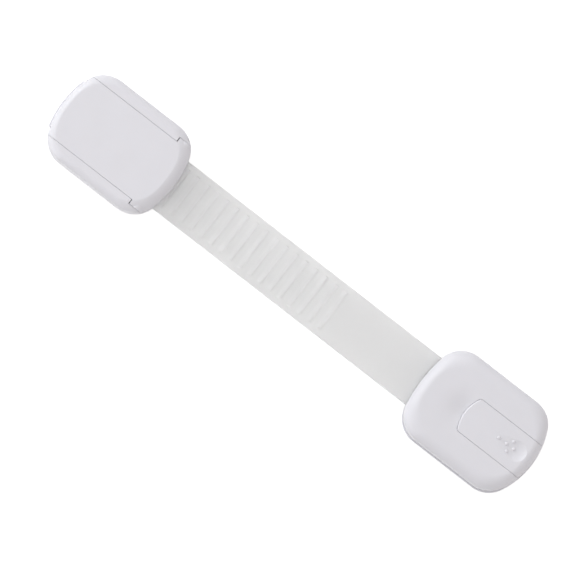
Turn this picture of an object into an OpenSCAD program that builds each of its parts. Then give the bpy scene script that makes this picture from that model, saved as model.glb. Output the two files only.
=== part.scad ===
// Adjustable strap lock for a cabinet or drawer: two stick-on heads joined by a strap.
// X runs along the strap from the adjusting head to the latch head, Y across it and Z up.
// The origin is under the middle of the lock, on the surface that both heads stick to.

/* [Overall] */
// Length over both heads
overall_length = 200; // [185:1:240]
// Thickness of the foam tape under each head
foam_thickness = 1; // [0.6:0.1:2]
// Distance from the edge of a head in to the edge of its foam tape
foam_inset = 1.6; // [0.8:0.1:3]

/* [Strap] */
// Width of the strap
strap_width = 20; // [18:0.5:21]
// Thickness of the strap between its ribs
strap_thickness = 1.4; // [1.2:0.1:2]
// Length of bare strap from the latch head to the crest of the first rib
strap_plain = 37.9; // [20:0.1:60]
// Distance from one rib of the strap to the next
rib_pitch = 4.2; // [3.8:0.1:5]
// Height of a rib
rib_height = 0.45; // [0.3:0.05:0.7]
// Run of a rib's ramp, over which the lid's teeth slip when the strap is drawn in
rib_ramp = 1.2; // [0.8:0.1:1.4]
// Run of a rib's steep side, which the lid's teeth hold
rib_steep = 0.3; // [0.1:0.05:0.4]
// Width of a rib's crest
rib_crest = 0.4; // [0.3:0.05:0.6]
// Width of the plain border beside the ribs
rib_border = 2.25; // [1.5:0.25:4]
// Radius of the corners at the strap's tail
tail_corner = 3; // [1:0.5:6]
// Distance from the outer end of the adjusting head to the strap's tail
tail_setback = 6; // [2:0.5:8]
// Length of strap past the middle of its two fixing holes
strap_end_margin = 5.5; // [4:0.5:7]

/* [Adjusting head] */
// Length of the adjusting head
anchor_length = 46.6; // [44:0.1:52]
// Width of the adjusting head beside the strap, on each side
anchor_side = 7.1; // [6.8:0.1:10]
// Corner radius of the adjusting head, seen from above
anchor_corner = 10; // [9:0.25:12]
// Radius of the bulge of its two ends, seen from above
anchor_bulge = 37; // [32:1:46]
// Height of the rounded crown over the lid's hinge axis
anchor_crown = 3; // [2:0.1:4]
// Run of the crown at the outer end
crown_outer_run = 2.2; // [1:0.1:4]
// Run of the crown at the strap's end
crown_nose_run = 3.8; // [2:0.1:4.4]
// Run of the crown along the sides
crown_side_run = 1.3; // [0.6:0.1:2]
// Distance from the hinge axis down to the top of the body's front corners
cheek_drop = 3.8; // [3:0.1:4.2]
// Height of the strap's guide ledges over the strap
guide_rise = 0.2; // [0.1:0.05:0.5]

/* [Lid] */
// Reach of the lid past each edge of the strap
lid_side = 2.3; // [1.8:0.1:2.7]
// Wall of the body outside each hinge ear
ear_cheek = 1.15; // [1:0.05:1.5]
// Distance from the hinge axis back to the end of the ears
ear_back = 2.4; // [2:0.1:2.8]
// Distance from the hinge axis to the tip of the lid's nose
nose_radius = 5.9; // [5.5:0.1:6.5]
// Wall of the lid
lid_wall = 1.6; // [1.2:0.1:2]
// Thickness of the lid's top
lid_top = 1.8; // [1.4:0.1:2.4]
// Length of the solid bar around the hinge pin, from the hinge axis back
hinge_bar = 3.5; // [3:0.1:5]
// Diameter of the hinge pin
hinge_pin_d = 1.6; // [1.4:0.1:2]
// Skin left outside the blind end of the hinge pin
hinge_skin = 0.4; // [0.3:0.05:0.6]
// Width of the finger lip
lip_width = 19; // [12:0.5:20]
// Reach of the finger lip past the end of the head
lip_reach = 0.6; // [0.3:0.1:1]
// Height of the finger lip
lip_height = 2.2; // [1.5:0.1:3]
// Width of the slits beside the finger lip
lip_slit = 0.7; // [0.4:0.1:1]
// Depth of the slits beside the finger lip
lip_slit_depth = 0.9; // [0.5:0.1:1.2]
// Number of teeth under the lid
tooth_count = 3; // [2:1:4]
// Distance from the hinge axis to the first tooth
tooth_reach = 19; // [14:0.5:22]
// Gap between a tooth and the ribs on both sides of it
tooth_gap = 0.3; // [0.25:0.05:0.5]
// Slope of a tooth's two sides, as a run along the strap
tooth_draft = 0.2; // [0.1:0.05:0.4]

/* [Latch head] */
// Length of the base plate
latch_length = 47; // [46:0.1:52]
// Width of the base plate beside the strap, on each side
latch_side = 8.1; // [7.6:0.1:10]
// Height of the latch head over the surface that it sticks to
latch_height = 14.5; // [14:0.1:17]
// Thickness of the base plate
base_thickness = 1.6; // [1.2:0.1:2.2]
// Corner radius of the base plate, seen from above
base_corner = 9.5; // [8:0.25:11]
// Ledge of the base plate outside the cover
flange_ledge = 0.5; // [0.3:0.1:1]
// Radius of the bulge of the strap's end, seen from above
latch_inner_bulge = 55; // [40:1:80]
// Radius of the bulge of the outer end, seen from above
latch_outer_bulge = 29; // [24:1:44]
// Corner radius of the cover, seen from above
cover_corner = 10; // [8:0.25:11]
// Height of the rounded crown of the cover
cover_crown = 4; // [3:0.1:5]
// Run of the crown at the ends of the cover
cover_end_run = 3.6; // [2.5:0.1:5]
// Run of the crown along the sides of the cover
cover_side_run = 3.6; // [2.5:0.1:5]
// Wall of the cover
cover_wall = 1.8; // [1.4:0.1:2.2]
// Thickness of the cover's top
cover_top = 2.2; // [1.8:0.1:2.6]
// Radius of the round dish in the cover
dish_radius = 10; // [7:0.1:12]
// Depth of the round dish
dish_depth = 1.1; // [0.5:0.05:1.2]
// Distance from the strap's end of the cover to the middle of the dish
dish_place = 17.4; // [15:0.1:19]
// Thickness of the bottom plate
plate_thickness = 1.1; // [0.9:0.1:1.6]

/* [Release button] */
// Width of the release button
button_width = 13.4; // [12:0.1:14]
// Length of the release button from the outer end of the cover
button_length = 28.7; // [27:0.1:30]
// Radius of the bulge of the button's nose, seen from above
nose_bulge = 14; // [11:0.5:18]
// Corner radius of the button's nose, seen from above
nose_corner = 1.3; // [0.8:0.1:2]
// Thickness of the lip with which the nose lies on the cover
nose_lip = 0.8; // [0.6:0.05:1]
// Reach of that lip over the cover
nose_lap = 1.3; // [1:0.1:1.8]
// Rounding of the nose's top edge
nose_round = 0.6; // [0.3:0.05:0.6]
// Thickness of the button's top
button_top = 2.4; // [2:0.1:2.8]
// Wall of the button
button_wall = 1.8; // [1.4:0.1:2.2]
// Height of the button's side walls, from the top of the cover
button_skirt = 5.2; // [4.5:0.1:5.5]
// Distance from the outer end of the cover to the pivot
pivot_place = 17.4; // [16:0.1:19]
// Depth of the pivot under the top of the cover
pivot_depth = 3.5; // [3.3:0.1:4]
// Diameter of the pivot pin
pivot_pin_d = 2; // [1.5:0.1:2.2]
// Diameter of the button's hub
hub_d = 4.6; // [4:0.1:5]
// Angle through which the button is pressed
press_angle = 7; // [5:0.5:8]
// Distance from the outer end of the cover to the end of the finger scoop
scoop_end = 3.2; // [2.6:0.1:5]
// Length of the scoop's sloping floor
scoop_run = 8.1; // [6:0.1:10]
// Depth of the scoop
scoop_depth = 1; // [0.7:0.1:1.3]
// Radius of the scoop's hollow
scoop_radius = 7.5; // [6:0.1:8]
// Diameter of the raised dots in the scoop
dot_d = 1.4; // [1:0.1:1.8]
// Height of the dots over the scoop's floor
dot_height = 0.4; // [0.2:0.05:0.6]
// Distance from the outer end of the cover to the middle of the dots
dot_place = 9.5; // [9:0.1:10]
// Distance from the middle dots to their neighbours along the button
dot_along = 1.5; // [1.3:0.05:1.7]
// Distance from the middle dots to their neighbours across the button
dot_across = 2.1; // [1.6:0.05:2.3]
// Distance from the middle of the dots to the lone dot towards the strap
dot_lead = 4.8; // [4:0.1:5.2]

/* [Catch and fixings] */
// Width of the button's hook
hook_width = 7; // [5:0.5:8]
// Thickness of the hook's leg
hook_leg = 1.9; // [1.6:0.1:2.2]
// Reach of the hook's toe past its leg
hook_reach = 1.1; // [1:0.05:1.3]
// Thickness of the hook's toe
toe_thickness = 0.8; // [0.6:0.1:1]
// Bite of the hook under the catch
hook_bite = 0.7; // [0.4:0.05:0.75]
// Width of the catch
catch_width = 8; // [6:0.5:10]
// Thickness of the catch post and of its lip
catch_wall = 1.6; // [1.2:0.1:1.8]
// Distance from the strap's end of the base plate to its front lugs
lug_place = 7; // [6:0.1:8]
// Width of a front lug
lug_width = 2.5; // [2:0.1:2.8]
// Thickness of a front lug
lug_wall = 1.6; // [1.2:0.1:1.8]
// Bite of a front lug over the bottom plate
lug_bite = 1; // [0.6:0.1:1.2]
// Diameter of the screws
screw_d = 2; // [1.6:0.1:2.2]
// Diameter of the screw heads
screw_head_d = 3.6; // [3:0.1:3.8]
// Length of the screws
screw_length = 7; // [5:0.5:8]
// Diameter of the screw posts in the cover
post_d = 4.6; // [4.2:0.1:5]
// Distance from the strap's end of the cover to its two inner screws
inner_screw_place = 5.5; // [5:0.1:6]
// Distance from the middle line to an inner screw
inner_screw_side = 6; // [5:0.1:6.5]
// Distance from the outer end of the cover to its two outer screws
outer_screw_place = 9; // [8:0.1:10]
// Distance from the middle line to an outer screw
outer_screw_side = 11.7; // [11.5:0.1:12]
// Distance from the outer end of the cover to the return spring
spring_place = 9; // [8:0.1:9.4]
// Outer diameter of the return spring
spring_d = 4.2; // [3.6:0.1:5]
// Diameter of the spring's wire
spring_wire = 0.5; // [0.4:0.05:0.6]
// Number of turns of the spring
spring_turns = 6; // [4:1:8]
// Height of the two studs that hold the spring
stud_height = 1.2; // [0.8:0.1:1.6]

/* [Clearances] */
// Gap of the seams between pieces that move
seam = 0.3; // [0.25:0.05:0.4]
// Gap of the narrow seams beside the lid and the button, whose flat sides slide past each other
slit = 0.08; // [0.05:0.01:0.2]
// Gap between the latch head and its base plate
lift_gap = 0.2; // [0.15:0.05:0.4]
// Radial clearance round a pin that turns
running_fit = 0.04; // [0.02:0.01:0.08]
// Clearance between pieces that are fixed together
sit = 0.05; // [0.03:0.01:0.1]

/* [Hidden] */
$fn = 48;

// Cuts run past a surface by this much
overrun = 0.5;
// Thickness of the thin layers that a rounded form is stretched over
slice = 0.02;
// Points along a corner, along a bulged end, up a crown, down the dish and round the nose's edge
corner_steps = 12;
bulge_steps = 12;
crown_steps = 8;
dish_steps = 10;
nose_steps = 5;
// Shape of the crown's flat top: 1 is an ellipse and less is squarer
top_share = 0.72;
// Shape of the crown's slope at the -X and +X ends: 2 is an ellipse and less is straighter
anchor_slope_shares = [2, 1.5];
cover_slope_shares = [2, 2];
// Shape of the dish: less is steeper near its middle
dish_lean_share = 0.65;
// Height to which the lip's slits run into the crown
slit_rise_share = 0.5;

// Widths that follow the strap's
anchor_width = strap_width + 2 * anchor_side;
lid_width = strap_width + 2 * lid_side;
latch_width = strap_width + 2 * latch_side;

// Levels, from the surface up
base_top = foam_thickness + base_thickness;
plate_z = base_top + lift_gap;
plate_top = plate_z + plate_thickness;
strap_z = plate_top + sit;
strap_face = strap_z + strap_thickness;
strap_top = strap_face + rib_height;
guide_z = strap_top + guide_rise;
lid_z = guide_z + seam;
hinge_z = strap_top + seam + nose_radius;
cheek_z = hinge_z - cheek_drop;
anchor_top = hinge_z + anchor_crown;
lid_ceiling = anchor_top - lid_top;
cover_ceiling = latch_height - cover_top;
button_ceiling = latch_height - button_top;

// Places of the adjusting head along the strap
anchor_x0 = -overall_length / 2 + lip_reach;
anchor_x1 = anchor_x0 + anchor_length;
anchor_mid = (anchor_x0 + anchor_x1) / 2;
hinge_x = anchor_x1 - nose_radius;
anchor_half = [anchor_length / 2, anchor_width / 2];
anchor_points = outline(anchor_half, anchor_corner, anchor_bulge, anchor_bulge);
anchor_runs = [crown_outer_run, crown_nose_run, crown_side_run];
slot_half = strap_width / 2 + seam;

// The head's half width at the front of the hinge pin, where its corner has begun to turn
anchor_corner_x = anchor_x1 - anchor_bulge
    + sqrt(pow(anchor_bulge - anchor_corner, 2) - pow(anchor_half.y - anchor_corner, 2));
hinge_half = anchor_half.y - anchor_corner
    + sqrt(pow(anchor_corner, 2) - pow(max(hinge_x + hinge_pin_d / 2 + sit - anchor_corner_x, 0), 2));
ear_width = 2 * (hinge_half - ear_cheek);
pin_side = hinge_half - hinge_skin;

// Places of the latch head along the strap
latch_x1 = overall_length / 2;
latch_x0 = latch_x1 - latch_length;
latch_mid = (latch_x0 + latch_x1) / 2;
latch_half = [latch_length / 2, latch_width / 2];
latch_points = outline(latch_half, base_corner, latch_inner_bulge, latch_outer_bulge);
cover_x1 = latch_x1 - flange_ledge;
cover_mid = (latch_x0 + cover_x1) / 2;
cover_half = [(cover_x1 - latch_x0) / 2, latch_half.y - flange_ledge];
cover_points = cover_outline(0);
cover_runs = [cover_end_run, cover_end_run, cover_side_run];

// Strap, its ribs and the lid's teeth in the valleys between them
tail_x = anchor_x0 + tail_setback;
inner_screw_x = latch_x0 + inner_screw_place;
strap_x1 = inner_screw_x + strap_end_margin;
rib_x = latch_x0 - strap_plain;
rib_half = strap_width / 2 - rib_border;
rib_count = floor((rib_x - rib_ramp - rib_crest - tail_x - tail_corner) / rib_pitch) + 1;
tooth_length = rib_pitch - rib_ramp - rib_crest - rib_steep - 2 * tooth_gap;
tooth_x = rib_x + rib_crest / 2 + rib_steep + tooth_gap + tooth_length / 2;
tooth_first = ceil((tooth_x - hinge_x + tooth_reach) / rib_pitch);
tooth_bottom = strap_face + seam / 2;

// Release button and its catch
button_x0 = cover_x1 - button_length;
button_half = button_width / 2;
slot_side = button_half + slit;
shelf_x = button_x0 + nose_lap;
shelf_z = latch_height - nose_lip - lift_gap;
button_points = button_outline(0);
slot_points = button_outline(slit);
pivot_x = cover_x1 - pivot_place;
pivot_z = latch_height - pivot_depth;
skirt_z = latch_height - button_skirt;
button_end_z = base_top + seam + pivot_place * sin(press_angle);
cheek_wall = cover_wall;
cheek_half = hub_d / 2 + hub_d / 4;
leg_x1 = pivot_x + hook_leg * 3 / 4;
leg_x0 = leg_x1 - hook_leg;
toe_x = leg_x1 + hook_reach;
toe_z = base_top + seam + (toe_x - pivot_x) * sin(press_angle);
toe_top = toe_z + toe_thickness;
catch_x0 = toe_x + seam;
catch_x1 = catch_x0 + catch_wall;
catch_lip_z = toe_top + seam / 2;
catch_top = catch_lip_z + catch_wall * 3 / 4;
opening_x0 = leg_x0 - (pivot_z - toe_z) * sin(press_angle) - seam;
opening_x1 = catch_x1 + seam;
opening_half = max(hook_width, catch_width) / 2 + seam;
end_wall_x = cover_x1 - button_wall - bulge_fall(latch_outer_bulge, button_half);
end_swing_x = pivot_x + (end_wall_x - pivot_x) * cos(press_angle)
    - (pivot_z - button_end_z) * sin(press_angle) - seam;
scoop_slope = atan(scoop_depth / scoop_run);
scoop_rim = sqrt(2 * scoop_radius * scoop_depth - pow(scoop_depth, 2));
scoop_x = cover_x1 - scoop_end - scoop_rim;
scoop_z = latch_height - scoop_depth + scoop_radius;
dot_x = cover_x1 - dot_place;
dots = [[dot_x - dot_along, 0], [dot_x + dot_along, 0], [dot_x, dot_across], [dot_x, -dot_across],
        [dot_x - dot_lead, 0]];
spring_x = cover_x1 - spring_place;
stud_d = spring_d - 2 * spring_wire - 2 * seam;

// Lugs and screws
lug_x = latch_x0 + lug_place;
lug_y = slot_half + seam + lug_width / 2;
lug_slot_x1 = lug_x + lug_wall + lift_gap;
lug_slot_x0 = lug_slot_x1 - lug_wall - lug_bite - 2 * lift_gap;
lug_lip_z = plate_top + lift_gap;
screw_places = [for (side = [-1, 1]) each [
    [inner_screw_x, side * inner_screw_side],
    [cover_x1 - outer_screw_place, side * outer_screw_side]]];
screw_head_h = (screw_head_d - screw_d) / 2;

// The end of a head seen from above: a corner, the bulge and the other corner
function end_points(half, corner, bulge) =
    let (
        corner_y = half.y - corner,
        bulge_x = half.x - bulge,
        corner_x = bulge_x + sqrt(pow(bulge - corner, 2) - pow(corner_y, 2)),
        turn = atan2(corner_y, corner_x - bulge_x)
    )
    concat(
        [for (i = [0 : corner_steps])
            let (a = -90 + (90 - turn) * i / corner_steps)
            [corner_x + corner * cos(a), -corner_y + corner * sin(a)]],
        [for (i = [1 : bulge_steps - 1])
            let (a = -turn + 2 * turn * i / bulge_steps)
            [bulge_x + bulge * cos(a), bulge * sin(a)]],
        [for (i = [0 : corner_steps])
            let (a = turn + (90 - turn) * i / corner_steps)
            [corner_x + corner * cos(a), corner_y + corner * sin(a)]]
    );

// The whole outline of a head, with its own bulge at the -X and +X ends
function outline(half, corner, bulge_low, bulge_high) =
    concat(end_points(half, corner, bulge_high),
           [for (p = end_points(half, corner, bulge_low)) -p]);

// The outline of the cover, drawn in by an inset
function cover_outline(inset) =
    outline(cover_half - [inset, inset], cover_corner - inset,
            latch_inner_bulge - inset, latch_outer_bulge - inset);

// Where a point of an outline lies at the edge of the flat top
function top_point(p, half, runs) =
    let (
        a = atan2(p.y / half.y, p.x / half.x),
        reach = half.x - (p.x < 0 ? runs[0] : runs[1])
    )
    [reach * sign(cos(a)) * pow(abs(cos(a)), top_share),
     (half.y - runs[2]) * sign(sin(a)) * pow(abs(sin(a)), top_share)];

// How far the crown has run in where it has risen by a share of its height
function crown_share(rise, slope) = 1 - pow(1 - pow(rise, slope), 1 / slope);

// How far a bulged end has fallen back at a distance from the middle line
function bulge_fall(bulge, side) = bulge - sqrt(pow(bulge, 2) - pow(side, 2));

// The button seen from above, grown all round, open past the end of the cover
function button_outline(grow) =
    let (half = button_half + grow)
    concat(
        [for (p = end_points([0, half], nose_corner + grow, nose_bulge + grow))
            [button_x0 - grow, 0] - p],
        [[latch_x1 + overrun, -half], [latch_x1 + overrun, half]]
    );

// Height of the scoop's floor under a point of the button
function scoop_floor(p) =
    scoop_z + (scoop_x - p.x) * tan(scoop_slope)
    - sqrt(pow(scoop_radius, 2) - pow(p.y, 2)) / cos(scoop_slope);

// A box centred on the middle line
module block(x0, x1, half, z0, z1) {
    translate([x0, -half, z0]) cube([x1 - x0, 2 * half, z1 - z0]);
}

// A round bar across the strap
module rod(x, z, d, y0, y1) {
    translate([x, y0, z]) rotate([-90, 0, 0]) cylinder(d = d, h = y1 - y0);
}

// A sphere with its poles out to the sides, clear of the surfaces that it shapes
module ball(radius) {
    rotate([90, 0, 0]) sphere(radius);
}

// A side view drawn in X and Z, stretched across the strap
module across(width) {
    rotate([90, 0, 0]) linear_extrude(width, center = true) children();
}

// A head's rounded form: upright walls and a crown that runs in to a rounder flat top
module head_form(points, half, runs, slopes, z0, shoulder, top) {
    hull() {
        translate([0, 0, z0]) linear_extrude(shoulder - z0) polygon(points);
        for (i = [1 : crown_steps]) {
            rise = sin(90 * i / crown_steps);
            translate([0, 0, shoulder + (top - shoulder) * rise - slice]) linear_extrude(slice)
                polygon([for (p = points)
                    p + (top_point(p, half, runs) - p) * crown_share(rise, slopes[p.x < 0 ? 0 : 1])]);
        }
    }
}

module anchor_form() {
    translate([anchor_mid, 0, 0])
        head_form(anchor_points, anchor_half, anchor_runs, anchor_slope_shares,
                  foam_thickness, hinge_z, anchor_top);
}

module cover_form() {
    translate([cover_mid, 0, 0])
        head_form(cover_points, cover_half, cover_runs, cover_slope_shares,
                  plate_z, latch_height - cover_crown, latch_height);
}

// The nose of the lid, rolled about the hinge axis so that it turns in its own space
module nose_roll(grow, side_grow) {
    translate([hinge_x, 0, hinge_z]) rotate([-90, 0, 0]) rotate_extrude()
        intersection() {
            translate([anchor_mid - hinge_x + grow, 0]) polygon(anchor_points);
            translate([0, -ear_width / 2 - side_grow])
                square([nose_radius + grow + overrun, ear_width + 2 * side_grow]);
        }
}

module foam_pad(middle, half, corner, bulge_low, bulge_high) {
    inset = foam_inset;
    translate([middle, 0, 0]) linear_extrude(foam_thickness)
        polygon(outline(half - [inset, inset], corner - inset, bulge_low - inset, bulge_high - inset));
}

module anchor_foam_pad() {
    color("gainsboro") foam_pad(anchor_mid, anchor_half, anchor_corner, anchor_bulge, anchor_bulge);
}

module anchor_base() {
    color("whitesmoke") difference() {
        anchor_form();
        block(anchor_x0 - overrun, hinge_x + seam, lid_width / 2 + slit, guide_z, anchor_top + overrun);
        block(hinge_x - ear_back - seam, anchor_x1 + overrun, ear_width / 2 + slit,
              cheek_z, anchor_top + overrun);
        nose_roll(seam, slit);
        block(anchor_x0 - overrun, anchor_x1 + overrun, slot_half, plate_top, guide_z + overrun);
        rod(hinge_x, hinge_z, hinge_pin_d + 2 * sit, -pin_side - sit, anchor_width / 2 + overrun);
    }
}

// One transverse wall under the lid, ending in a tooth that sits between two ribs of the strap
module lid_tooth(x) {
    half = tooth_length / 2;
    tip = half - tooth_draft;
    translate([x, 0, 0]) across(2 * rib_half)
        polygon([[-half, lid_ceiling + overrun], [-half, strap_top], [-tip, tooth_bottom],
                 [tip, tooth_bottom], [half, strap_top], [half, lid_ceiling + overrun]]);
}

module lid_lip() {
    intersection() {
        translate([anchor_mid - lip_reach, 0, lid_z]) linear_extrude(lip_height) polygon(anchor_points);
        block(anchor_x0 - lip_reach - overrun, anchor_x0 + lid_wall, lip_width / 2,
              lid_z, lid_z + lip_height);
    }
}

module anchor_lid() {
    slit_y = (lip_width + lip_slit) / 2;
    slit_x = anchor_x0 + bulge_fall(anchor_bulge, slit_y) + lip_slit_depth;
    slit_top = hinge_z + anchor_crown * slit_rise_share;
    color("white") difference() {
        union() {
            intersection() {
                anchor_form();
                union() {
                    block(anchor_x0 - overrun, hinge_x, lid_width / 2, lid_z, anchor_top + overrun);
                    block(hinge_x - ear_back, anchor_x1 + overrun, ear_width / 2,
                          hinge_z, anchor_top + overrun);
                }
            }
            intersection() {
                nose_roll(0, 0);
                block(hinge_x, anchor_x1 + overrun, ear_width / 2, strap_top, hinge_z);
            }
            rod(hinge_x, hinge_z, 2 * (ear_back - sit), -ear_width / 2, ear_width / 2);
            lid_lip();
        }
        difference() {
            block(anchor_x0 + lid_wall + bulge_fall(anchor_bulge, lid_width / 2),
                  hinge_x - hinge_bar, lid_width / 2 - lid_wall, lid_z - overrun, lid_ceiling);
            for (i = [0 : tooth_count - 1])
                lid_tooth(tooth_x - (tooth_first + i) * rib_pitch);
        }
        for (side = [-1, 1]) {
            translate([anchor_x0 - overrun, side * slit_y - lip_slit / 2, lid_z - overrun])
                cube([slit_x - anchor_x0 + overrun, lip_slit, slit_top - lid_z + overrun]);
        }
        rod(hinge_x, hinge_z, hinge_pin_d + 2 * running_fit,
            -ear_width / 2 - overrun, ear_width / 2 + overrun);
    }
}

module lid_hinge_pin() {
    color("silver") rod(hinge_x, hinge_z, hinge_pin_d, -pin_side, pin_side);
}

// A rib of the strap: a ramp towards the tail, and a steep side that holds against a pull on the strap
module strap_rib(x) {
    half = rib_crest / 2;
    translate([x, 0, 0]) across(2 * rib_half)
        polygon([[-half - rib_ramp, strap_z], [-half - rib_ramp, strap_face], [-half, strap_top],
                 [half, strap_top], [half + rib_steep, strap_face], [half + rib_steep, strap_z]]);
}

module strap() {
    half = strap_width / 2;
    corner = half - tail_corner;
    tail = [for (side = [1, -1]) for (i = [0 : corner_steps])
        let (a = side > 0 ? 90 + 90 * i / corner_steps : 180 + 90 * i / corner_steps)
        [tail_x + tail_corner + tail_corner * cos(a), side * corner + tail_corner * sin(a)]];
    color("gainsboro") difference() {
        union() {
            translate([0, 0, strap_z]) linear_extrude(strap_thickness)
                polygon(concat(tail, [[strap_x1, -half], [strap_x1, half]]));
            for (i = [0 : rib_count - 1]) strap_rib(rib_x - i * rib_pitch);
        }
        for (side = [-1, 1]) {
            translate([inner_screw_x, side * inner_screw_side, strap_z - overrun])
                cylinder(d = post_d + 2 * sit, h = strap_thickness + 2 * overrun);
        }
    }
}

module latch_foam_pad() {
    color("gainsboro")
        foam_pad(latch_mid, latch_half, base_corner, latch_inner_bulge, latch_outer_bulge);
}

// Base plate: the catch holds the button's hook and the two lugs hold the front of the head
module latch_base() {
    color("whitesmoke") union() {
        translate([latch_mid, 0, foam_thickness]) linear_extrude(base_thickness) polygon(latch_points);
        across(catch_width)
            polygon([[catch_x0, foam_thickness], [catch_x0, catch_lip_z],
                     [toe_x - hook_bite, catch_lip_z], [toe_x - hook_bite, catch_top],
                     [catch_x1, catch_top], [catch_x1, foam_thickness]]);
        for (side = [-1, 1]) {
            translate([lug_x, side * lug_y, 0]) across(lug_width)
                polygon([[0, foam_thickness], [0, lug_lip_z + lug_wall],
                         [lug_wall + lug_bite, lug_lip_z + lug_wall], [lug_wall + lug_bite, lug_lip_z],
                         [lug_wall, lug_lip_z], [lug_wall, foam_thickness]]);
        }
    }
}

// The four screws stand head down, grown by a clearance where they are cut out
module screws(grow, length) {
    for (p = screw_places) {
        translate([p.x, p.y, plate_z]) {
            cylinder(d1 = screw_head_d + 2 * grow, d2 = screw_d + 2 * grow, h = screw_head_h);
            cylinder(d = screw_d + 2 * grow, h = length);
        }
    }
}

module latch_bottom_plate() {
    color("whitesmoke") difference() {
        union() {
            translate([cover_mid, 0, plate_z]) linear_extrude(plate_thickness)
                polygon(cover_outline(cover_wall + sit));
            translate([spring_x, 0, plate_z]) cylinder(d = stud_d, h = plate_thickness + stud_height);
        }
        block(opening_x0, opening_x1, opening_half, plate_z - overrun, plate_top + overrun);
        block(end_swing_x, latch_x1, slot_side, plate_z - overrun, plate_top + overrun);
        for (side = [-1, 1]) {
            translate([lug_slot_x0, side * lug_y - lug_width / 2 - lift_gap, plate_z - overrun])
                cube([lug_slot_x1 - lug_slot_x0, lug_width + 2 * lift_gap,
                      plate_thickness + 2 * overrun]);
        }
        screws(sit, plate_thickness + overrun);
    }
}

// The round dish: a hollow that runs out softly into the cover's top
module dish() {
    translate([latch_x0 + dish_place, 0, latch_height]) rotate_extrude()
        polygon(concat([[0, overrun], [0, -dish_depth]],
                       [for (i = [0 : dish_steps])
                           [dish_radius * (i + 1) / (dish_steps + 1),
                            -dish_depth * (1 + cos(180 * pow(i / dish_steps, dish_lean_share))) / 2]],
                       [[dish_radius, overrun]]));
}

module latch_cover() {
    color("white") difference() {
        union() {
            difference() {
                cover_form();
                translate([cover_mid, 0, plate_z - overrun])
                    linear_extrude(cover_ceiling - plate_z + overrun) polygon(cover_outline(cover_wall));
            }
            for (p = screw_places) {
                translate([p.x, p.y, plate_top])
                    cylinder(d = post_d, h = cover_ceiling - plate_top + overrun);
            }
            for (side = [-1, 1]) {
                translate([pivot_x, side * (slot_side + cheek_wall / 2), 0])
                    block(-cheek_half, cheek_half, cheek_wall / 2, pivot_z - cheek_half,
                          cover_ceiling + overrun);
            }
        }
        intersection() {
            translate([0, 0, plate_z - overrun]) linear_extrude(latch_height) polygon(slot_points);
            block(shelf_x, latch_x1 + overrun, cover_half.y, plate_z - overrun, latch_height + overrun);
        }
        translate([0, 0, shelf_z]) linear_extrude(latch_height) polygon(slot_points);
        dish();
        block(latch_x0 - overrun, latch_x0 + cover_wall + cover_corner, slot_half,
              plate_z - overrun, strap_face + seam);
        rod(pivot_x, pivot_z, pivot_pin_d + 2 * sit, -slot_side - cheek_wall - overrun,
            slot_side + cheek_wall + overrun);
        screws(sit, screw_length + seam);
    }
}

// The finger scoop: a hollow that slopes down to a round end
module scoop() {
    translate([scoop_x, 0, scoop_z]) {
        ball(scoop_radius);
        rotate([0, -90 + scoop_slope, 0]) cylinder(r = scoop_radius, h = button_length);
    }
}

// What is cut off the nose to round its top edge
module nose_edge() {
    inner = nose_bulge - nose_round;
    low = latch_height - nose_round;
    difference() {
        block(button_x0 - overrun, button_x0 + nose_bulge / 2, button_width,
              low, latch_height + overrun);
        translate([button_x0 + nose_bulge, 0, 0]) rotate_extrude()
            polygon(concat([[0, latch_height], [0, low - overrun], [nose_bulge, low - overrun]],
                           [for (i = [0 : nose_steps])
                               let (a = 90 * i / nose_steps)
                               [inner + nose_round * cos(a), low + nose_round * sin(a)]]));
    }
}

// The leg under the hub and the toe that holds under the catch
module hook() {
    across(hook_width)
        polygon([[leg_x0, pivot_z], [leg_x0, toe_z], [leg_x1, toe_z], [toe_x, toe_z + toe_thickness / 2],
                 [toe_x, toe_top], [leg_x1, toe_top], [leg_x1, pivot_z]]);
}

module release_button() {
    color("white") difference() {
        union() {
            difference() {
                intersection() {
                    cover_form();
                    translate([0, 0, button_end_z]) linear_extrude(latch_height) polygon(button_points);
                    union() {
                        block(button_x0, latch_x1, button_half, latch_height - nose_lip, latch_height);
                        block(shelf_x + seam, latch_x1, button_half, skirt_z, latch_height);
                        block(end_wall_x, latch_x1, button_half, button_end_z, latch_height);
                    }
                }
                intersection() {
                    translate([cover_mid, 0, base_top]) linear_extrude(button_ceiling - base_top)
                        polygon(cover_outline(button_wall));
                    block(shelf_x + seam + button_wall, latch_x1, button_half - button_wall,
                          base_top, button_ceiling);
                }
                nose_edge();
                scoop();
            }
            rod(pivot_x, pivot_z, hub_d, -button_half, button_half);
            hook();
            translate([spring_x, 0, button_ceiling - stud_height])
                cylinder(d = stud_d, h = stud_height + sit);
            for (p = dots) {
                translate([p.x, p.y, scoop_floor(p) + dot_height - dot_d / 2]) ball(dot_d / 2);
            }
        }
        rod(pivot_x, pivot_z, pivot_pin_d + 2 * running_fit,
            -button_half - overrun, button_half + overrun);
    }
}

module button_pivot_pin() {
    side = slot_side + cheek_wall - sit;
    color("silver") rod(pivot_x, pivot_z, pivot_pin_d, -side, side);
}

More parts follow.
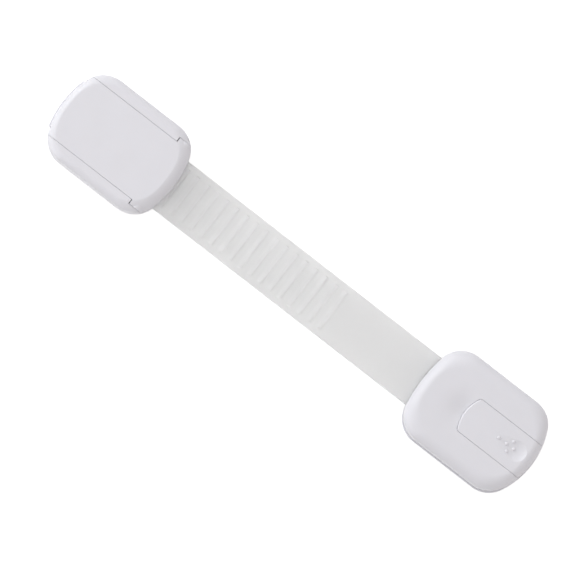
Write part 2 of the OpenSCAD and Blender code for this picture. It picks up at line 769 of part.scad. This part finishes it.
// A coil spring as one tube swept along a helix
module button_spring() {
    rings_a_turn = 12;
    sides = 6;
    rings = rings_a_turn * spring_turns;
    radius = (spring_d - spring_wire) / 2;
    low = plate_top + sit + spring_wire / 2;
    high = button_ceiling - sit - spring_wire / 2;
    rise = (high - low) / rings;
    lean = atan(rise * rings / (2 * PI * radius * spring_turns));
    echo(spring_gap = rise * rings_a_turn - spring_wire);
    points = [for (i = [0 : rings]) for (j = [0 : sides - 1])
        let (
            turn = 360 * i / rings_a_turn,
            a = 360 * j / sides,
            out = radius + spring_wire / 2 * cos(a),
            up = spring_wire / 2 * sin(a)
        )
        [out * cos(turn) + up * sin(lean) * sin(turn),
         out * sin(turn) - up * sin(lean) * cos(turn),
         low + i * rise + up * cos(lean)]];
    skin = [for (i = [0 : rings - 1]) for (j = [0 : sides - 1])
        let (a = i * sides + j, b = i * sides + (j + 1) % sides)
        each [[a, a + sides, b], [b, a + sides, b + sides]]];
    caps = [[for (j = [0 : sides - 1]) j],
            [for (j = [0 : sides - 1]) rings * sides + sides - 1 - j]];
    color("silver") translate([spring_x, 0, 0]) polyhedron(points, concat(skin, caps));
}

module cover_screws() {
    color("silver") screws(0, screw_length);
}

anchor_foam_pad();
anchor_base();
anchor_lid();
lid_hinge_pin();
strap();
latch_foam_pad();
latch_base();
latch_bottom_plate();
latch_cover();
release_button();
button_pivot_pin();
button_spring();
cover_screws();
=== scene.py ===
"""Looks of a stick-on strap lock for cabinets: white moulded heads, translucent strap, foam tape and steel fittings."""

import math

import bpy
import numpy as np
from mathutils import Matrix, Vector


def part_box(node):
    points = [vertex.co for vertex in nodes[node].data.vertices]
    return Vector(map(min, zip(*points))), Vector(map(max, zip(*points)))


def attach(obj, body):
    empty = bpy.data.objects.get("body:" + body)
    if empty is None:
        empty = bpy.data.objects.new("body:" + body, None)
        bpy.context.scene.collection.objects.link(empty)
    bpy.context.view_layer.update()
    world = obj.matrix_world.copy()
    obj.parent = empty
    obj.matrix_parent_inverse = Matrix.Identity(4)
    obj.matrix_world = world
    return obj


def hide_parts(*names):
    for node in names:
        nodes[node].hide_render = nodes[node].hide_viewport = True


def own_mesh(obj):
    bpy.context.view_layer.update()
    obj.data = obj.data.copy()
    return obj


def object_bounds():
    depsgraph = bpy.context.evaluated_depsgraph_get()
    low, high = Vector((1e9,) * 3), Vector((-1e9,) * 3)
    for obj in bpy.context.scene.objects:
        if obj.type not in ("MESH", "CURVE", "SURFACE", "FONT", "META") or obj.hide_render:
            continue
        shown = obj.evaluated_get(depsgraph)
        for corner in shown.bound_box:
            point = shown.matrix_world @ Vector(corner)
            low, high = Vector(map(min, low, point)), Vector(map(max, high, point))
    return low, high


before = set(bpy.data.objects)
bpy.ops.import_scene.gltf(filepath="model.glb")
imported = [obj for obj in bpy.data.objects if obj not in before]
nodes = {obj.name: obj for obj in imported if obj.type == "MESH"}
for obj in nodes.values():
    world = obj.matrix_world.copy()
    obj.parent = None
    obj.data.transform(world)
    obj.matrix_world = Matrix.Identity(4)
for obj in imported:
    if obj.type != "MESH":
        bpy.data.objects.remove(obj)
cad_low, cad_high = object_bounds()

MM = 0.001

# Moulded pieces and the rounding of their sharp outer edges
MOULDS = {
    "anchor_base": 0.04 * MM,
    "anchor_lid": 0.04 * MM,
    "latch_cover": 0.04 * MM,
    "release_button": 0.04 * MM,
    "latch_base": 0.15 * MM,
    "latch_bottom_plate": 0.1 * MM,
}
# An edge is sharp from this angle up, and faces that turn less than the second angle are one
MOULD_SHARP_DEGREES = 30
MOULD_FLAT_DEGREES = 0.2

# Steel pieces, with the same three values
STEEL_NODES = ("lid_hinge_pin", "button_pivot_pin", "cover_screws")
STEEL_ROUNDING = 0.1 * MM
STEEL_SHARP_DEGREES = 12
STEEL_FLAT_DEGREES = 0.5

# Points nearer than this are joined: in a CAD node, and after its edges are rounded
JOIN = 0.001 * MM
FINE_JOIN = 0.0002 * MM

# The strap's softened mesh: size of its voxels, smoothing passes and the share of faces that is kept
STRAP_VOXEL = 0.16 * MM
STRAP_PASSES = 22
STRAP_KEPT = 0.3

# Foam pads, each with the seed of its pits
FOAM_SEEDS = {"anchor_foam_pad": 3, "latch_foam_pad": 5}
# Points along the outline, and rings of the flat faces as shares of the outline
FOAM_POINTS = 480
FOAM_RINGS = (0.25, 0.5, 0.7, 0.82, 0.9, 0.95, 0.98)
# The cut edge from its foot up: insets in millimetres and shares of the height
FOAM_EDGE = (
    (0.16, 0), (0.06, 0.02), (0.015, 0.07), (0.03, 0.2), (0.05, 0.35), (0.06, 0.5),
    (0.05, 0.65), (0.03, 0.8), (0.015, 0.93), (0.06, 0.98), (0.16, 1),
)
# Depth of the pits in millimetres, and the share of the height without pits at both rims
FOAM_PIT = 0.05
FOAM_RIM = 0.05

# Return spring: wire, turns, closed turns at each end, and the turns over which the pitch opens
SPRING_WIRE = 0.5 * MM
SPRING_TURNS = 6
SPRING_CLOSED = 0.9
SPRING_OPENING = 0.5
# Faces along one turn and round the wire
SPRING_STEPS = 36
SPRING_SIDES = 14

# Colours, linear
WHITE = (0.75, 0.754, 0.795, 1)
WHITE_SHADE = (0.739, 0.743, 0.782, 1)
STRAP_PALE = (0.839, 0.841, 0.843, 1)
STRAP_DEEP = (0.831, 0.833, 0.835, 1)
# Foam: the pale cell walls, and a darker grey painted as shade in the pits of the cells
FOAM_WALL = (0.76, 0.76, 0.74, 1)
FOAM_CELL_SHADE = (0.6, 0.6, 0.585, 1)
STEEL = (0.62, 0.62, 0.64, 1)
SKY_NEAR = (0.835, 0.838, 0.85, 1)
SKY_FAR = (0.745, 0.7, 0.685, 1)
BACKGROUND = (1, 1, 1, 1)

# Floor: half its side in metres, its grey, and the glow that makes it show white
FLOOR_HALF = 3.0
FLOOR_GREY = (0.55, 0.55, 0.55, 1)
FLOOR_GLOW = 0.74

# Area lamps: place and target, size and power
LAMPS = {
    "key": ((-1.7, 0.45, 0.9), (0, 0, 0), 0.9, 15),
    "fill": ((-0.3, -0.34, 0.06), (-0.075, 0, 0), 0.15, 0.25),
}

# The photograph's frame: pixels a millimetre, and where the lock's middle falls from the frame's middle
FRAME_PIXELS = 576
PIXELS_A_MM = 2.97
MIDDLE_OFFSET_PIXELS = (9.74, 4.82)
ROLL_DEGREES = 37.75
TILT_DEGREES = 3.2
# Camera: distance and clipping in metres, sensor in millimetres
CAMERA_DISTANCE = 3.0
CAMERA_CLIP = 10
CAMERA_SENSOR = 36


def link(tree, a, out, b, into):
    """Joins an output of one node to an input of another, by their names."""
    tree.links.new(a.outputs[out], b.inputs[into])


# Shapes


def add_modifiers(obj, *steps):
    """Puts modifiers on a piece, each given as its type and its settings."""
    for kind, settings in steps:
        modifier = obj.modifiers.new(kind.title(), kind)
        for name, value in settings.items():
            setattr(modifier, name, value)


def edge_marks(degrees):
    """Node group that shades all but sharp edges smooth, and marks the sharp outer ones for a bevel."""
    tree = bpy.data.node_groups.new("edge_marks", "GeometryNodeTree")
    for way in ("INPUT", "OUTPUT"):
        tree.interface.new_socket("Geometry", in_out=way, socket_type="NodeSocketGeometry")
    start = tree.nodes.new("NodeGroupInput")
    end = tree.nodes.new("NodeGroupOutput")
    bend = tree.nodes.new("GeometryNodeInputMeshEdgeAngle")
    soft = tree.nodes.new("FunctionNodeCompare")
    soft.operation = "LESS_THAN"
    outer = tree.nodes.new("FunctionNodeCompare")
    outer.operation = "GREATER_THAN"
    for test, angle in ((soft, "Unsigned Angle"), (outer, "Signed Angle")):
        test.inputs["B"].default_value = math.radians(degrees)
        link(tree, bend, angle, test, "A")
    faces = tree.nodes.new("GeometryNodeSetShadeSmooth")
    edges = tree.nodes.new("GeometryNodeSetShadeSmooth")
    edges.domain = "EDGE"
    marks = tree.nodes.new("GeometryNodeStoreNamedAttribute")
    marks.domain = "EDGE"
    marks.inputs["Name"].default_value = "bevel_weight_edge"
    link(tree, start, "Geometry", faces, "Geometry")
    link(tree, faces, "Geometry", edges, "Geometry")
    link(tree, soft, "Result", edges, "Shade Smooth")
    link(tree, edges, "Geometry", marks, "Geometry")
    link(tree, outer, "Result", marks, "Value")
    link(tree, marks, "Geometry", end, "Geometry")
    return tree


def mould(obj, width):
    """Shades the curved faces of a CAD node smooth and rounds its sharp outer edges as a mould leaves them."""
    add_modifiers(
        obj,
        ("WELD", {"merge_threshold": JOIN}),
        ("DECIMATE", {"decimate_type": "DISSOLVE", "angle_limit": math.radians(MOULD_FLAT_DEGREES)}),
        ("NODES", {"node_group": mould_marks}),
        ("BEVEL", {"width": width, "segments": 2, "limit_method": "WEIGHT", "use_clamp_overlap": False}),
        ("WELD", {"merge_threshold": FINE_JOIN}),
        ("WEIGHTED_NORMAL", {"weight": 80, "keep_sharp": True}),
    )


def soften(obj, voxel, passes, kept):
    """Rounds every edge of a CAD node as soft plastic flows."""
    add_modifiers(
        obj,
        ("WELD", {"merge_threshold": JOIN}),
        ("REMESH", {"mode": "VOXEL", "voxel_size": voxel, "use_smooth_shade": True}),
        ("SMOOTH", {"factor": 0.5, "iterations": passes}),
        ("DECIMATE", {"ratio": kept}),
    )


def round_edges(obj, width):
    """Rounds the sharp edges of a turned CAD node."""
    add_modifiers(
        obj,
        ("WELD", {"merge_threshold": JOIN}),
        ("DECIMATE", {"decimate_type": "DISSOLVE", "angle_limit": math.radians(STEEL_FLAT_DEGREES)}),
        ("BEVEL", {"width": width, "segments": 3, "limit_method": "ANGLE",
                   "angle_limit": math.radians(STEEL_SHARP_DEGREES), "use_clamp_overlap": False}),
        ("WEIGHTED_NORMAL", {"weight": 80}),
    )


def paint(obj, material):
    """Gives a piece its one material."""
    obj.data.materials.clear()
    obj.data.materials.append(material)


def add_piece(name, points, faces, body, material, node):
    """Makes a mesh piece that stands for a CAD node and rides on a body."""
    mesh = bpy.data.meshes.new(name)
    mesh.from_pydata([tuple(p) for p in points], [], faces)
    mesh.shade_smooth()
    piece = bpy.data.objects.new(name, mesh)
    bpy.context.scene.collection.objects.link(piece)
    paint(piece, material)
    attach(piece, body)
    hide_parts(node)
    return piece


def closed_faces(rings, sides):
    """Quads between loops of points laid out one after another, and a face over each end."""
    faces = []
    for i in range(rings - 1):
        for j in range(sides):
            k = (j + 1) % sides
            faces.append((i * sides + j, i * sides + k, (i + 1) * sides + k, (i + 1) * sides + j))
    last = (rings - 1) * sides
    faces.append(tuple(reversed(range(sides))))
    faces.append(tuple(range(last, last + sides)))
    return faces


def node_outline(node, count):
    """The outline of a flat node seen from above at even steps, its outward directions and its middle."""
    points = np.array([v.co[:2] for v in nodes[node].data.vertices])
    middle = (points.min(axis=0) + points.max(axis=0)) / 2
    points = np.unique(points.round(7), axis=0)
    around = np.argsort(np.arctan2(*(points - middle).T[::-1]))
    points = points[around]
    loop = np.vstack([points, points[:1]])
    along = np.concatenate([[0], np.cumsum(np.linalg.norm(np.diff(loop, axis=0), axis=1))])
    steps = np.linspace(0, along[-1], count, endpoint=False)
    even = np.stack([np.interp(steps, along, loop[:, i]) for i in (0, 1)], axis=1)
    way = np.roll(even, -1, axis=0) - np.roll(even, 1, axis=0)
    way /= np.linalg.norm(way, axis=1)[:, None]
    return even, np.stack([way[:, 1], -way[:, 0]], axis=1), middle


def foam_pad(node, body, seed):
    """A die-cut pad of foam tape: flat faces, and a cut edge that is open-celled and slightly drawn in."""
    low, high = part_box(node)
    count = FOAM_POINTS
    outline, outward, middle = node_outline(node, count)
    random = np.random.RandomState(seed)
    height = high.z - low.z
    rings = []
    for share in FOAM_RINGS:
        rings.append(np.column_stack([middle + (outline - middle) * share, np.full(count, low.z)]))
    for inset, rise in FOAM_EDGE:
        pitted = FOAM_RIM < rise < 1 - FOAM_RIM
        pits = random.rand(count) ** 2 * FOAM_PIT if pitted else np.zeros(count)
        ring = outline - outward * (inset + pits)[:, None] * MM
        rings.append(np.column_stack([ring, np.full(count, low.z + rise * height)]))
    for share in reversed(FOAM_RINGS):
        rings.append(np.column_stack([middle + (outline - middle) * share, np.full(count, high.z)]))
    faces = closed_faces(len(rings), count)
    piece = add_piece(node + "_foam", np.vstack(rings), faces, body, foam_material, node)
    return piece


def spring_path(low, high, radius):
    """Points of the spring's wire: a coil whose end turns lie closed."""
    turn = np.linspace(0, SPRING_TURNS, SPRING_TURNS * SPRING_STEPS + 1)
    pitch = np.clip(np.minimum(turn, SPRING_TURNS - turn) - SPRING_CLOSED, 0, SPRING_OPENING)
    rise = np.concatenate([[0], np.cumsum((pitch[1:] + pitch[:-1]) / 2)])
    lay = np.arange(len(turn)) / len(turn)
    wire_rise = 2 * SPRING_CLOSED * SPRING_WIRE
    height = lay * wire_rise + rise / rise[-1] * (high - low - wire_rise)
    height *= (high - low) / height[-1]
    angle = 2 * np.pi * turn
    return np.column_stack([radius * np.cos(angle), radius * np.sin(angle), low + height])


def tube(path, radius, sides):
    """Points of a round tube along a coil about the Z axis, and its faces."""
    way = np.gradient(path, axis=0)
    way /= np.linalg.norm(way, axis=1)[:, None]
    out = path * (1, 1, 0)
    out /= np.linalg.norm(out, axis=1)[:, None]
    up = np.cross(way, out)
    angle = np.linspace(0, 2 * np.pi, sides, endpoint=False)
    rings = (path[:, None, :] + radius * (np.cos(angle)[None, :, None] * out[:, None, :]
                                          + np.sin(angle)[None, :, None] * up[:, None, :]))
    return rings.reshape(-1, 3), closed_faces(len(path), sides)


# Materials


def new_material(name):
    """A material, its node tree and its shader."""
    material = bpy.data.materials.new(name)
    material.use_nodes = True
    tree = material.node_tree
    return material, tree, tree.nodes["Principled BSDF"]


def add_noise(tree, cell, stretch=(1, 1, 1), detail=2.0):
    """Noise in the piece's own coordinates, with features about one cell across, stretched along the axes."""
    place = tree.nodes.new("ShaderNodeTexCoord")
    mapping = tree.nodes.new("ShaderNodeMapping")
    mapping.inputs["Scale"].default_value = [1 / (cell * s) for s in stretch]
    texture = tree.nodes.new("ShaderNodeTexNoise")
    texture.inputs["Scale"].default_value = 1
    texture.inputs["Detail"].default_value = detail
    link(tree, place, "Object", mapping, "Vector")
    link(tree, mapping, "Vector", texture, "Vector")
    return texture


def add_cells(tree, cell):
    """Distance to the nearest cell wall of a foam with cells of about that size."""
    place = tree.nodes.new("ShaderNodeTexCoord")
    texture = tree.nodes.new("ShaderNodeTexVoronoi")
    texture.feature = "DISTANCE_TO_EDGE"
    texture.inputs["Scale"].default_value = 1 / cell
    link(tree, place, "Object", texture, "Vector")
    return texture


def spread(tree, source, out, low, high, shader, socket, span=(0.3, 0.7)):
    """Drives one socket of the shader by a texture, between two values."""
    ranges = tree.nodes.new("ShaderNodeMapRange")
    ranges.inputs["From Min"].default_value = span[0]
    ranges.inputs["From Max"].default_value = span[1]
    ranges.inputs["To Min"].default_value = low
    ranges.inputs["To Max"].default_value = high
    link(tree, source, out, ranges, "Value")
    link(tree, ranges, "Result", shader, socket)


def tint(tree, source, out, low, high, shader, span=(0.3, 0.7)):
    """Colours the shader between two colours by a texture."""
    ramp = tree.nodes.new("ShaderNodeValToRGB")
    ramp.color_ramp.elements[0].position = span[0]
    ramp.color_ramp.elements[0].color = low
    ramp.color_ramp.elements[1].position = span[1]
    ramp.color_ramp.elements[1].color = high
    link(tree, source, out, ramp, "Fac")
    link(tree, ramp, "Color", shader, "Base Color")


def relief(tree, shader, *layers):
    """Stacks bump layers, each a texture, its output, a strength and a height in metres."""
    last = None
    for source, out, strength, height in layers:
        bump = tree.nodes.new("ShaderNodeBump")
        bump.inputs["Strength"].default_value = strength
        bump.inputs["Distance"].default_value = height
        link(tree, source, out, bump, "Height")
        if last:
            link(tree, last, "Normal", bump, "Normal")
        last = bump
    link(tree, last, "Normal", shader, "Normal")


def white_plastic():
    """Matt white moulded plastic with a spark-eroded grain and faint flow clouds."""
    material, tree, shader = new_material("white_moulded_plastic")
    clouds = add_noise(tree, 9 * MM)
    grain = add_noise(tree, 0.35 * MM, detail=3)
    wave = add_noise(tree, 5 * MM)
    tint(tree, clouds, "Fac", WHITE_SHADE, WHITE, shader)
    spread(tree, clouds, "Fac", 0.5, 0.4, shader, "Roughness")
    relief(tree, shader, (grain, "Fac", 0.25, 0.012 * MM), (wave, "Fac", 0.3, 0.03 * MM))
    shader.inputs["Subsurface Weight"].default_value = 0.25
    shader.inputs["Subsurface Radius"].default_value = (1, 0.95, 0.9)
    shader.inputs["Subsurface Scale"].default_value = 0.6 * MM
    return material


def strap_plastic():
    """Pale translucent flexible plastic, satin, with flow lines along the strap."""
    material, tree, shader = new_material("translucent_strap_plastic")
    clouds = add_noise(tree, 6 * MM, stretch=(3, 1, 1))
    lines = add_noise(tree, 0.4 * MM, stretch=(20, 1, 1))
    tint(tree, clouds, "Fac", STRAP_DEEP, STRAP_PALE, shader)
    spread(tree, lines, "Fac", 0.45, 0.55, shader, "Roughness")
    relief(tree, shader, (lines, "Fac", 0.15, 0.01 * MM))
    shader.inputs["Transmission Weight"].default_value = 0.66
    shader.inputs["IOR"].default_value = 1.46
    shader.inputs["Subsurface Weight"].default_value = 1
    shader.inputs["Subsurface Radius"].default_value = (1, 1, 1)
    shader.inputs["Subsurface Scale"].default_value = 2.5 * MM
    return material


def foam():
    """White closed-cell foam tape: fine cells with thin pale walls, and painted shade in the cell pits."""
    material, tree, shader = new_material("closed_cell_foam")
    cells = add_cells(tree, 0.32 * MM)
    clouds = add_noise(tree, 2.5 * MM)
    # The pits between the cell walls are painted darker, as painted shade
    tint(tree, cells, "Distance", FOAM_WALL, FOAM_CELL_SHADE, shader, span=(0.03, 0.3))
    spread(tree, clouds, "Fac", 0.8, 0.95, shader, "Roughness")
    relief(tree, shader, (cells, "Distance", 0.6, -0.08 * MM), (clouds, "Fac", 0.4, 0.05 * MM))
    shader.inputs["Specular IOR Level"].default_value = 0.25
    return material


def steel(name, stretch):
    """Drawn steel with fine lines along the way it was drawn."""
    material, tree, shader = new_material(name)
    lines = add_noise(tree, 0.08 * MM, stretch=stretch)
    clouds = add_noise(tree, 1.5 * MM)
    shader.inputs["Base Color"].default_value = STEEL
    shader.inputs["Metallic"].default_value = 1
    spread(tree, clouds, "Fac", 0.24, 0.36, shader, "Roughness")
    relief(tree, shader, (lines, "Fac", 0.35, 0.01 * MM))
    return material


# Stage


def add_camera():
    """Looks down on the lock as the photograph does: nearly upright, turned, and tilted across the strap."""
    roll = math.radians(ROLL_DEGREES)
    tilt = math.radians(TILT_DEGREES)
    back = Vector((0, -math.sin(tilt), math.cos(tilt)))
    up = Vector((-math.sin(roll), math.cos(roll), 0))
    right = up.cross(back).normalized()
    up = back.cross(right).normalized()
    data = bpy.data.cameras.new("camera")
    camera = bpy.data.objects.new("camera", data)
    bpy.context.scene.collection.objects.link(camera)
    view_width = FRAME_PIXELS / PIXELS_A_MM * MM
    data.sensor_width = CAMERA_SENSOR
    data.lens = data.sensor_width * CAMERA_DISTANCE / view_width
    data.clip_end = CAMERA_CLIP
    middle = Vector((0, 0, (cad_low.z + cad_high.z) / 2))
    pixel = MM / PIXELS_A_MM
    target = middle - right * MIDDLE_OFFSET_PIXELS[0] * pixel - up * MIDDLE_OFFSET_PIXELS[1] * pixel
    camera.matrix_world = Matrix.Translation(target + back * CAMERA_DISTANCE) @ Matrix(
        (right, up, back)
    ).transposed().to_4x4()
    bpy.context.scene.camera = camera


def add_area(name, place, target, size, watts):
    """A square lamp that faces a target."""
    data = bpy.data.lights.new(name, "AREA")
    data.size = size
    data.energy = watts
    lamp = bpy.data.objects.new(name, data)
    lamp.location = place
    lamp.rotation_euler = (Vector(target) - Vector(place)).to_track_quat("-Z", "Y").to_euler()
    bpy.context.scene.collection.objects.link(lamp)


def background_share(tree):
    """1 for the rays that show the background: from the camera, and off gloss or through clear plastic."""
    path = tree.nodes.new("ShaderNodeLightPath")
    last = path.outputs["Is Camera Ray"]
    for name in ("Is Glossy Ray", "Is Transmission Ray"):
        most = tree.nodes.new("ShaderNodeMath")
        most.operation = "MAXIMUM"
        tree.links.new(last, most.inputs[0])
        tree.links.new(path.outputs[name], most.inputs[1])
        last = most.outputs[0]
    return last


def add_floor():
    """A floor that shows white with the lock's faint shadow, and sends back less light than it shows."""
    side = FLOOR_HALF
    mesh = bpy.data.meshes.new("floor")
    mesh.from_pydata([(-side, -side, 0), (side, -side, 0), (side, side, 0), (-side, side, 0)], [], [(0, 1, 2, 3)])
    floor = bpy.data.objects.new("floor", mesh)
    bpy.context.scene.collection.objects.link(floor)
    material, tree, shader = new_material("white_floor")
    shader.inputs["Base Color"].default_value = FLOOR_GREY
    shader.inputs["Roughness"].default_value = 0.9
    shader.inputs["Specular IOR Level"].default_value = 0
    shader.inputs["Emission Color"].default_value = BACKGROUND
    lift = tree.nodes.new("ShaderNodeMath")
    lift.operation = "MULTIPLY"
    lift.inputs[1].default_value = FLOOR_GLOW
    tree.links.new(background_share(tree), lift.inputs[0])
    link(tree, lift, "Value", shader, "Emission Strength")
    mesh.materials.append(material)


def add_world():
    """Soft light from all round, a little dimmer and warmer from the latch head's end, behind a white background."""
    world = bpy.data.worlds.new("studio")
    bpy.context.scene.world = world
    world.use_nodes = True
    tree = world.node_tree
    light = tree.nodes["Background"]
    place = tree.nodes.new("ShaderNodeTexCoord")
    split = tree.nodes.new("ShaderNodeSeparateXYZ")
    across = tree.nodes.new("ShaderNodeMapRange")
    across.inputs["From Min"].default_value = -1
    ramp = tree.nodes.new("ShaderNodeValToRGB")
    ramp.color_ramp.elements[0].color = SKY_NEAR
    ramp.color_ramp.elements[1].color = SKY_FAR
    link(tree, place, "Generated", split, "Vector")
    link(tree, split, "X", across, "Value")
    link(tree, across, "Result", ramp, "Fac")
    link(tree, ramp, "Color", light, "Color")
    shown = tree.nodes.new("ShaderNodeBackground")
    shown.inputs["Color"].default_value = BACKGROUND
    mix = tree.nodes.new("ShaderNodeMixShader")
    tree.links.new(background_share(tree), mix.inputs["Fac"])
    tree.links.new(light.outputs[0], mix.inputs[1])
    tree.links.new(shown.outputs[0], mix.inputs[2])
    link(tree, mix, "Shader", tree.nodes["World Output"], "Surface")


shell_material = white_plastic()
strap_material = strap_plastic()
foam_material = foam()
pin_steel = steel("drawn_steel", (1, 30, 1))
wire_steel = steel("spring_steel", (2, 2, 2))

mould_marks = edge_marks(MOULD_SHARP_DEGREES)
for name, width in MOULDS.items():
    mould(nodes[name], width)
    paint(nodes[name], shell_material)
soften(nodes["strap"], STRAP_VOXEL, STRAP_PASSES, STRAP_KEPT)
paint(nodes["strap"], strap_material)
for name in STEEL_NODES:
    round_edges(nodes[name], STEEL_ROUNDING)
    paint(nodes[name], pin_steel)

for name, seed in FOAM_SEEDS.items():
    foam_pad(name, "lock_body", seed)

spring_low, spring_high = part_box("button_spring")
spring_middle = (spring_low + spring_high) / 2
spring_radius = (spring_high.y - spring_low.y - SPRING_WIRE) / 2
spring_points, spring_faces = tube(
    spring_path(spring_low.z + SPRING_WIRE / 2, spring_high.z - SPRING_WIRE / 2, spring_radius),
    SPRING_WIRE / 2, SPRING_SIDES)
spring = add_piece("button_spring_coil", spring_points + np.array((spring_middle.x, 0, 0)), spring_faces,
                   "lock_body", wire_steel, "button_spring")
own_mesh(spring)

add_floor()
add_world()
for name, settings in LAMPS.items():
    add_area(name, *settings)
add_camera()
bpy.context.scene.view_settings.view_transform = "Standard"
